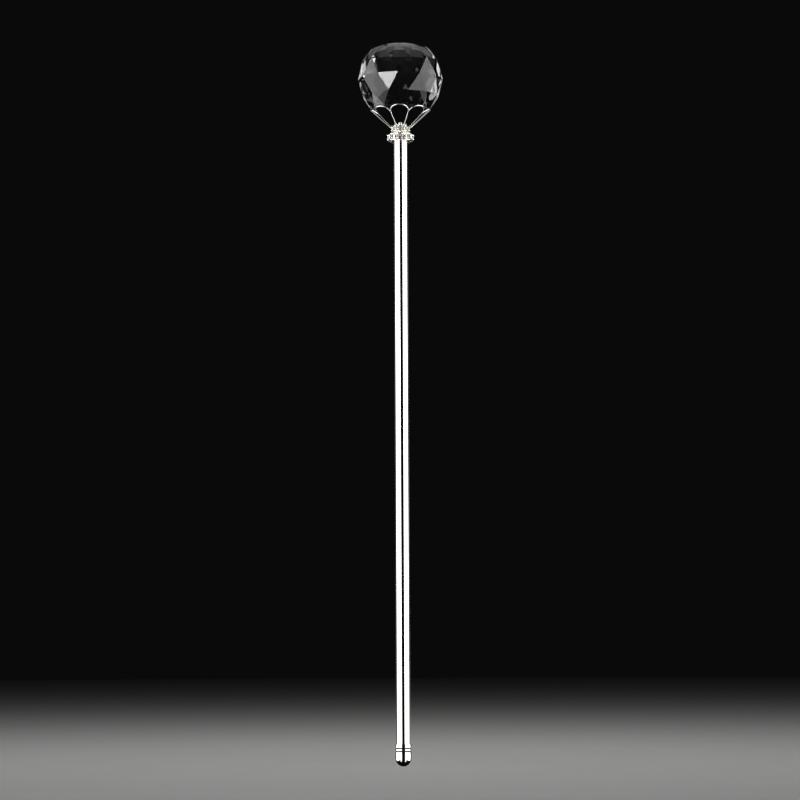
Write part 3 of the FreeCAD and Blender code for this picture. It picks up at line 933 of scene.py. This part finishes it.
@dataclass
class StoneTier:
    """One ring of outward-facing stones in claw settings, round a hub."""

    name: str
    body: str
    metal_node: str
    stone_node: str
    count: int
    hub_radius: float
    bore: float
    cup_radius: float
    stone_radius: float
    reach: float
    claw_radius: float
    lip: float
    claw_count: int = 4
    stone_sides: int = 10
    stone_play: float = 0.97
    waist_share: float = 0.86
    lip_share: float = 0.2
    hub_edge: float = 0.18 * MM
    cup_edge: float = 0.1 * MM

    def build(self, metal: bpy.types.Material, glass: bpy.types.Material, foil: bpy.types.Material) -> None:
        """Makes the tier's metal and its stones."""
        foot, top, _ = box_of(self.metal_node)
        middle = (foot + top) / 2
        setting = self.facing_out(joined("setting", [self.cup(), *self.claws()]), middle)
        settings = repeated(f"{self.name}_settings", smooth(setting, 45.0), self.count, metal)
        whole = joined(f"{self.name}_metal", [self.hub(foot, top), settings])
        Fitting(self.body, "collar_silver", (self.metal_node,)).fit(f"{self.name}_metal", whole, metal)
        stone = self.facing_out(self.stone(glass), middle)
        stones = repeated(f"{self.name}_cut_stones", stone, self.count, glass, foil)
        Fitting(self.body, "rhinestone", (self.stone_node,)).fit(f"{self.name}_cut_stones", stones)

    def facing_out(self, mesh: bpy.types.Mesh, middle: float) -> bpy.types.Mesh:
        """Lays a shape modelled up the Z axis so that it faces +X at the tier's middle height."""
        mesh.transform(Matrix.Translation((0, 0, middle)) @ Matrix.Rotation(math.pi / 2, 4, "Y"))
        return mesh

    def hub(self, foot: float, top: float) -> bpy.types.Mesh:
        """The bored hub, waisted between two beaded lips."""
        waist = self.hub_radius * self.waist_share
        lip = (top - foot) * self.lip_share
        corners = [
            (self.bore, foot),
            (self.hub_radius, foot),
            (self.hub_radius, foot + lip),
            (waist, foot + lip * 1.5),
            (waist, top - lip * 1.5),
            (self.hub_radius, top - lip),
            (self.hub_radius, top),
            (self.bore, top),
        ]
        return smooth(lathe(f"{self.name}_hub", eased(corners, self.hub_edge), 64))

    def cup(self) -> bpy.types.Mesh:
        """The cup that one stone sits in, modelled with its mouth up."""
        girdle = self.reach - self.claw_radius
        wall = self.cup_radius - self.stone_radius
        corners = [
            (0.0, self.hub_radius * 0.5),
            (self.cup_radius * 0.62, self.hub_radius * 0.5),
            (self.cup_radius * 0.72, self.hub_radius * 0.9),
            (self.cup_radius, girdle - self.lip * 0.6),
            (self.cup_radius, girdle),
            (self.cup_radius - wall, girdle),
            (self.cup_radius * 0.35, girdle - self.stone_radius * 0.85),
            (0.0, girdle - self.stone_radius * 0.95),
        ]
        return lathe("cup", eased(corners, self.cup_edge, 2, closed=False), 28, closed=False)

    def claws(self) -> list[bpy.types.Mesh]:
        """Claws that stand on the cup's rim and bend over the stone."""
        girdle = self.reach - self.claw_radius
        # Each bend's distance out, its height over the girdle in lips, and its thickness in claw radii.
        bends = (
            (self.cup_radius - self.claw_radius * 0.6, -1.0, 1.0),
            (self.cup_radius - self.claw_radius * 0.8, 0.45, 0.95),
            (self.stone_radius * 0.9, 0.8, 0.85),
            (self.stone_radius * 0.66, 0.82, 0.55),
        )
        radii = [self.claw_radius * share for _, _, share in bends]
        claws = []
        for number in range(self.claw_count):
            turn = FULL_TURN * (number + 0.5) / self.claw_count
            out = Vector((math.cos(turn), math.sin(turn), 0))
            path = [out * across + Vector((0, 0, girdle + self.lip * up)) for across, up, _ in bends]
            claws.append(claw_mesh(path, radii))
        return claws

    def stone(self, glass: bpy.types.Material) -> bpy.types.Mesh:
        """One brilliant-cut stone, table up, with its lower facets marked as backed by foil."""
        girdle = self.reach - self.claw_radius
        radius = self.stone_radius * self.stone_play
        rings = [(radius * across, girdle + radius * up) for across, up in STONE_CUT]
        mesh = gem(f"{self.name}_stone", self.stone_sides, rings, glass)
        backed = mesh.attributes.new("backed", "BOOLEAN", "FACE")
        backed.data.foreach_set("value", [face.center.z < girdle for face in mesh.polygons])
        return mesh


def claw_mesh(path: list[Vector], radii: list[float], around: int = 8, dome: float = 0.6) -> bpy.types.Mesh:
    """A tapering round wire with a domed end.

    Args:
        path: the points it runs through.
        radii: its radius at each point.
        around: how many sides it has.
        dome: how far its end bulges, in radii.

    Returns:
        A closed mesh.
    """
    shape = bmesh.new()
    tip = path[-1] + (path[-1] - path[-2]).normalized() * radii[-1] * dome
    rows = []
    for index, (point, radius) in enumerate(zip(path, radii, strict=True)):
        ahead = path[min(index + 1, len(path) - 1)] - path[max(index - 1, 0)]
        frame_x = ahead.cross(Vector((-path[0].y, path[0].x, 0))).normalized()
        frame_y = ahead.cross(frame_x).normalized()
        turns = (FULL_TURN * step / around for step in range(around))
        rows.append(
            [shape.verts.new(point + (frame_x * math.cos(t) + frame_y * math.sin(t)) * radius) for t in turns]
        )
    shape.faces.new(rows[0][::-1])
    bridge(shape, [*rows, [shape.verts.new(tip)] * around])
    return closed_mesh("claw", shape)


@dataclass
class BeadRing:
    """A thin ring of round beads."""

    bead_radius: float = 0.6 * MM
    bead_count: int = 16
    bore: float = 1.95 * MM
    edge: float = 0.15 * MM

    def build(self, metal: bpy.types.Material) -> None:
        """Makes the ring and its beads."""
        foot, top, outer = box_of("bead_ring")
        centre = outer - self.bead_radius
        corners = [(self.bore, foot), (centre, foot), (centre, top), (self.bore, top)]
        ring = smooth(lathe("bead_ring_core", eased(corners, self.edge), 64))
        shape = bmesh.new()
        bmesh.ops.create_icosphere(shape, subdivisions=3, radius=self.bead_radius)
        bead = closed_mesh("bead", shape)
        bead.transform(Matrix.Translation((centre, 0, (foot + top) / 2)))
        beads = repeated("beads", smooth(bead), self.bead_count, metal)
        whole = joined("bead_ring_beaded", [ring, beads])
        Fitting("head", "collar_silver", ("bead_ring",)).fit("bead_ring_beaded", whole, metal)


# ---------------------------------------------------------------- the petal cup


@dataclass
class PetalCup:
    """Eight polished sheet petals with a fine raised border, on a small turned dish."""

    count: int = 8
    root_radius: float = 6.3 * MM
    root_height: float = 374.8 * MM
    tip_radius: float = 17.4 * MM
    tip_height: float = 384.9 * MM
    valley_radius: float = 13.6 * MM
    thickness: float = 0.4 * MM
    wire_radius: float = 0.31 * MM
    wire_sink: float = 0.04 * MM
    bulge: float = 0.25 * MM
    squareness: float = 2.6
    across: int = 16
    up: int = 14
    arch_steps: int = 48
    arch_share: float = 0.97
    wire_sides: int = 12

    def build(self) -> None:
        """Makes the petals, their border and the dish."""
        sheet = PolishedSilver("petal_silver", Lay.EVEN, line_width=0.0004, gloss=0.03, smear=0.05).build()
        wire = PolishedSilver("rim_silver", Lay.EVEN, tint=(0.96, 0.96, 0.95), gloss=0.24).build()
        numbers = range(1, self.count + 1)
        nodes = tuple(f"petal_{number}" for number in numbers)
        petals = repeated("petals", self.petal(), self.count, sheet)
        Fitting("head", "petal_silver", nodes).fit("petals_formed", petals)
        nodes = tuple(f"petal_rim_{number}" for number in numbers)
        Fitting("head", "rim_silver", nodes).fit("petal_borders", self.borders(wire))
        dress("cup_dish", sheet)

    @property
    def slope(self) -> float:
        """How far out the cup runs for each metre up."""
        return (self.tip_radius - self.root_radius) / (self.tip_height - self.root_height)

    def radius_at(self, height: float) -> float:
        """The cup's outer radius at a height."""
        return self.root_radius + (height - self.root_height) * self.slope

    def on_cup(self, across: float, height: float, sink: float = 0.0) -> Vector:
        """The point of a petal that is seen at a distance across and a height, sunk into the sheet."""
        lean = math.hypot(1.0, self.slope)
        radius = self.radius_at(height) - sink / lean
        ahead = math.sqrt(max(radius**2 - across**2, 0.0))
        return Vector((ahead, across, height + sink * self.slope / lean))

    def valley(self) -> tuple[float, float]:
        """A petal's half width at the dip beside it, and the dip's height."""
        height = self.root_height + (self.valley_radius - self.root_radius) / self.slope
        return self.valley_radius * math.sin(math.pi / self.count), height

    def arch(self, turn: float) -> tuple[float, float]:
        """A point of the petal's rounded top edge, from turn 0 at its right dip to pi at its left."""
        side, height = self.valley()
        cosine, sine = math.cos(turn), max(math.sin(turn), 0.0)
        power = 2 / self.squareness
        across = side * math.copysign(abs(cosine) ** power, cosine)
        return across, height + (self.tip_height - height) * sine**power

    def side(self) -> Outline:
        """Half widths and heights up a petal's straight side, from its root to just under the dip."""
        rise = self.valley()[1] - self.root_height
        heights = (self.root_height + rise * step / self.up for step in range(self.up))
        return [(self.radius_at(height) * math.sin(math.pi / self.count), height) for height in heights]

    def petal(self) -> bpy.types.Mesh:
        """One petal, a little bulged between its ribs, with its real thickness."""
        shape = bmesh.new()
        turns = (math.pi / 2 * step / self.up * self.arch_share for step in range(self.up + 1))
        rows = self.side() + [self.arch(turn) for turn in turns]
        grid = []
        for half_width, height in rows:
            shares = [2 * step / self.across - 1 for step in range(self.across + 1)]
            rise = (height - self.root_height) / (self.tip_height - self.root_height)
            swell = self.bulge * math.sin(math.pi * min(rise, 1.0))
            grid.append(
                [
                    shape.verts.new(self.on_cup(share * half_width, height, -swell * (1 - share**2)))
                    for share in shares
                ]
            )
        for low, high in zip(grid, grid[1:], strict=False):
            for step in range(self.across):
                shape.faces.new([low[step], low[step + 1], high[step + 1], high[step]])
        mesh = bpy.data.meshes.new("petal")
        shape.to_mesh(mesh)
        shape.free()
        holder = new_object("petal_sheet", mesh)
        wall = holder.modifiers.new("wall", "SOLIDIFY")
        wall.thickness = self.thickness
        wall.offset = -1.0
        return smooth(baked(holder, "petal"), 50.0)

    def borders(self, wire: bpy.types.Material) -> bpy.types.Mesh:
        """A wire up one side of each petal and over its arch, swept round and repeated."""
        turns = (math.pi * step / self.arch_steps for step in range(self.arch_steps + 1))
        spots = self.side() + [self.arch(turn) for turn in turns]
        path = [self.on_cup(across, height, self.wire_sink) for across, height in spots]
        curve = bpy.data.curves.new("border_path", "CURVE")
        curve.dimensions = "3D"
        spline = curve.splines.new("POLY")
        spline.points.add(len(path) - 1)
        for point, place in zip(spline.points, path, strict=True):
            point.co = (*place, 1.0)
        holder = new_object("border_path", curve)
        values = {"Path": holder, "Count": self.count, "Wire Radius": self.wire_radius, "Finish": wire}
        maker = Maker("petal_borders", values)
        wire_up = maker.swept(maker.shape_of("Path"), "Wire Radius", self.wire_sides)
        made = maker.mesh(maker.copies_round(wire_up, maker.value("Count")))
        bpy.data.objects.remove(holder)
        return smooth(made, 60.0)


# ---------------------------------------------------------------- the ball and its seat


@dataclass
class BallMount:
    """The pedestal inside the cup, and the cement that holds the ball to it."""

    bore: float = 1.95 * MM
    neck_radius: float = 4.0 * MM
    plate: float = 1.0 * MM
    flare: float = 3.1 * MM
    gap: float = 0.02 * MM
    seat_edge: float = 0.3 * MM
    pad_edge: float = 0.2 * MM
    around: int = 96

    def build(self) -> None:
        """Makes the seat and the cement."""
        silver = PolishedSilver("seat_silver", Lay.ROUND, gloss=0.12, smear=0.08).build()
        foot, top, radius = box_of("ball_seat")
        stud_top = box_of("centre_stud")[1]
        corners = [
            (0.0, stud_top),
            (self.bore, stud_top),
            (self.bore, foot),
            (self.neck_radius, foot),
            (self.neck_radius, foot + self.flare),
            (radius, top - self.plate),
            (radius, top),
            (0.0, top),
        ]
        outline = eased(corners, self.seat_edge, closed=False)
        seat = lathe("ball_seat_turned", outline, self.around, closed=False)
        Fitting("head", "seat_silver", ("ball_seat",)).fit("ball_seat_turned", smooth(seat), silver)
        foot, top, radius = box_of("seat_pad")
        corners = [(0.0, foot), (radius, foot), (radius, top - self.gap), (0.0, top - self.gap)]
        pad = lathe("seat_cement", eased(corners, self.pad_edge, closed=False), self.around, closed=False)
        cement = ClearCement("cement").build()
        Fitting("head", "clear_cement", ("seat_pad",)).fit("seat_cement", smooth(pad), cement)


@dataclass
class CrystalBall:
    """The cut glass ball: rings of triangular facets, a flat table and a flat foot, with eased edges."""

    sides: int = 12
    middle_latitude: float = 24.5
    outer_latitude: float = 46.0
    table_height: float = 19.5 * MM
    table_radius: float = 11.8 * MM
    edge_width: float = 0.10 * MM
    least_edge_angle: float = 4.0

    def build(self, glass: bpy.types.Material) -> None:
        """Makes the ball."""
        foot, top, radius = box_of("crystal_ball")
        centre = (foot + top) / 2
        rings = [(self.table_radius, centre - self.table_height)]
        upper = (self.middle_latitude, self.outer_latitude)
        for latitude in (*(-angle for angle in reversed(upper)), 0.0, *upper):
            slant = math.radians(latitude)
            rings.append((radius * math.cos(slant), centre + radius * math.sin(slant)))
        rings.append((self.table_radius, centre + self.table_height))
        ball = gem("crystal_ball_cut", self.sides, rings, glass)
        holder = new_object("ball_blank", ball)
        edges = holder.modifiers.new("edges", "BEVEL")
        edges.width = self.edge_width
        edges.segments = 1
        edges.limit_method = "ANGLE"
        edges.angle_limit = math.radians(self.least_edge_angle)
        cut = baked(holder, "crystal_ball_cut")
        Fitting("head", "crystal", ("crystal_ball",)).fit("crystal_ball_cut", cut)


# ---------------------------------------------------------------- the studio


class Reach(Enum):
    """Where a softbox shows: in matt colour, in mirror reflections, or there and through glass as well."""

    FLOOR = ("visible_diffuse",)
    SHINE = ("visible_glossy",)
    GLASS = ("visible_glossy", "visible_transmission")


@dataclass
class Softbox:
    """One flat rectangular light, with what it may reach."""

    name: str
    centre: tuple[float, float, float]
    aim: tuple[float, float, float]
    width: float
    height: float
    radiance: float
    reach: Reach

    @classmethod
    def wall(
        cls,
        name: str,
        near: tuple[float, float],
        far: tuple[float, float],
        heights: tuple[float, float],
        radiance: float,
        reach: Reach = Reach.SHINE,
    ) -> "Softbox":
        """An upright softbox that stands between two places and faces the wand.

        Args:
            name: the light's name.
            near: one end's X and Y.
            far: the other end's X and Y.
            heights: its foot and its top. What lies below the floor stands in for a glossy table.
            radiance: how bright it looks.
            reach: what it lights.

        Returns:
            The softbox.
        """
        start, end = Vector(near), Vector(far)
        middle = (start + end) / 2
        along = end - start
        inward = Vector((along.y, -along.x)).normalized()
        if inward.dot(middle) > 0:
            inward.negate()
        aim = middle + inward
        foot, top = heights
        level = (foot + top) / 2
        return cls(name, (*middle, level), (*aim, level), along.length, top - foot, radiance, reach)

    def build(self) -> None:
        """Makes the light."""
        lamp = bpy.data.lights.new(self.name, "AREA")
        lamp.shape = "RECTANGLE"
        lamp.size, lamp.size_y = self.width, self.height
        lamp.energy = self.radiance * math.pi * self.width * self.height
        holder = new_object(self.name, lamp)
        towards = Vector(self.aim) - Vector(self.centre)
        facing = towards.to_track_quat("-Z", "Y").to_matrix().to_4x4()
        holder.matrix_world = Matrix.Translation(self.centre) @ facing
        holder.visible_camera = False
        for ray in (*Reach.FLOOR.value, *Reach.GLASS.value):
            setattr(holder, ray, ray in self.reach.value)


@dataclass
class Studio:
    """The pale floor, the soft lights and the camera."""

    floor_radius: float = 3.0
    floor_sides: int = 96
    background: float = 0.003
    camera_height: float = 0.077
    camera_distance: float = 1.534
    camera_turn: float = 2.6
    camera_pitch: float = 5.06
    camera_roll: float = 0.26
    camera_aside: float = 0.0395
    lens: float = 118.35
    sensor: float = 36.0

    def build(self) -> None:
        """Makes everything round the wand."""
        self.floor()
        self.lights()
        self.camera()

    def floor(self) -> None:
        """A plain round floor just under the end cap."""
        shape = bmesh.new()
        bmesh.ops.create_circle(shape, cap_ends=True, segments=self.floor_sides, radius=self.floor_radius)
        mesh = bpy.data.meshes.new("studio_floor")
        shape.to_mesh(mesh)
        shape.free()
        mesh.materials.append(PaleFloor("pale_floor").build())
        floor = new_object("studio_floor", mesh)
        floor.visible_glossy = False
        floor.visible_shadow = False

    def lights(self) -> None:
        """Two long softboxes that shine in the metal and glass, and an even light over the floor."""
        left, right = ((-0.74, -2.1), (-0.85, 0.40)), ((0.80, -1.44), (0.85, 0.45))
        wall, table = (-0.35, 0.9), (-1.4, -0.35)
        for box in (
            Softbox.wall("left_softbox", *left, wall, 1.1, Reach.GLASS),
            Softbox.wall("right_softbox", *right, wall, 1.1, Reach.GLASS),
            Softbox.wall("left_shine", (-0.80, -2.1), (-0.91, 0.43), wall, 1.6),
            Softbox.wall("right_shine", (0.86, -1.50), (0.91, 0.48), wall, 1.6),
            Softbox.wall("left_table_glow", (-0.74, -2.1), (-0.78, -0.8), table, 1.2),
            Softbox.wall("right_table_glow", (0.80, -1.44), (0.82, -0.7), table, 1.2),
            Softbox.wall("back_softbox", (-0.55, 1.2), (0.55, 1.2), wall, 0.35),
            Softbox("key_panel", (-0.60, -0.94, 0.34), (0.0, 0.0, 0.40), 0.16, 0.12, 11.0, Reach.SHINE),
            Softbox("overhead_softbox", (0.0, 0.0, 0.9), (0.0, 0.0, 0.0), 0.5, 0.5, 4.0, Reach.FLOOR),
        ):
            box.build()
        world = bpy.data.worlds.new("studio_world")
        world.use_nodes = True
        grey = (self.background, self.background, self.background, 1.0)
        world.node_tree.nodes["Background"].inputs["Color"].default_value = grey
        bpy.context.scene.world = world
        bpy.context.scene.view_settings.view_transform = "Standard"

    def camera(self) -> None:
        """A long lens low over the floor, tilted up a little at the middle of the wand."""
        data = bpy.data.cameras.new("camera")
        data.lens, data.sensor_width = self.lens, self.sensor
        data.clip_start, data.clip_end = 0.01, 20.0
        holder = new_object("camera", data)
        turn = math.radians(self.camera_turn)
        place = Vector((math.sin(turn), -math.cos(turn), 0)) * self.camera_distance
        place.z = self.camera_height
        yaw = turn + math.radians(self.camera_aside)
        look = Matrix.Rotation(yaw, 4, "Z") @ Matrix.Rotation(math.radians(90.0 + self.camera_pitch), 4, "X")
        roll = Matrix.Rotation(math.radians(-self.camera_roll), 4, "Z")
        holder.matrix_world = Matrix.Translation(place) @ look @ roll
        bpy.context.scene.camera = holder


def main() -> None:
    """Builds the wand and its studio."""
    logging.basicConfig(level=logging.INFO, format="%(name)s: %(message)s")
    Studio().build()
    metal = CollarSilver("collar_silver", 3.2 * MM, 6.5 * MM).build()
    glass = CutGlass("rhinestone", (0.99, 0.99, 1.0), 1.55, 0.0002).build()
    foil = FoilBack("rhinestone_foil").build()
    Rod().build()
    Stud().build()
    StoneTier(
        name="rondelle", body="rondelle", metal_node="rondelle_flower", stone_node="rondelle_stones", count=8,
        hub_radius=4.2 * MM, bore=2.0 * MM, cup_radius=2.15 * MM, stone_radius=1.7 * MM, reach=7.5 * MM,
        claw_radius=0.36 * MM, lip=0.75 * MM,
    ).build(metal, glass, foil)
    BeadRing().build(metal)
    StoneTier(
        name="neck", body="head", metal_node="neck_ring", stone_node="neck_stones", count=8,
        hub_radius=3.8 * MM, bore=1.95 * MM, cup_radius=1.55 * MM, stone_radius=1.25 * MM, reach=5.3 * MM,
        claw_radius=0.26 * MM, lip=0.55 * MM,
    ).build(metal, glass, foil)
    PetalCup().build()
    BallMount().build()
    CrystalBall().build(CutGlass("crystal", (0.985, 0.99, 0.99), 1.52, 0.0006, 0.2).build())


if __name__ == "__main__":
    main()
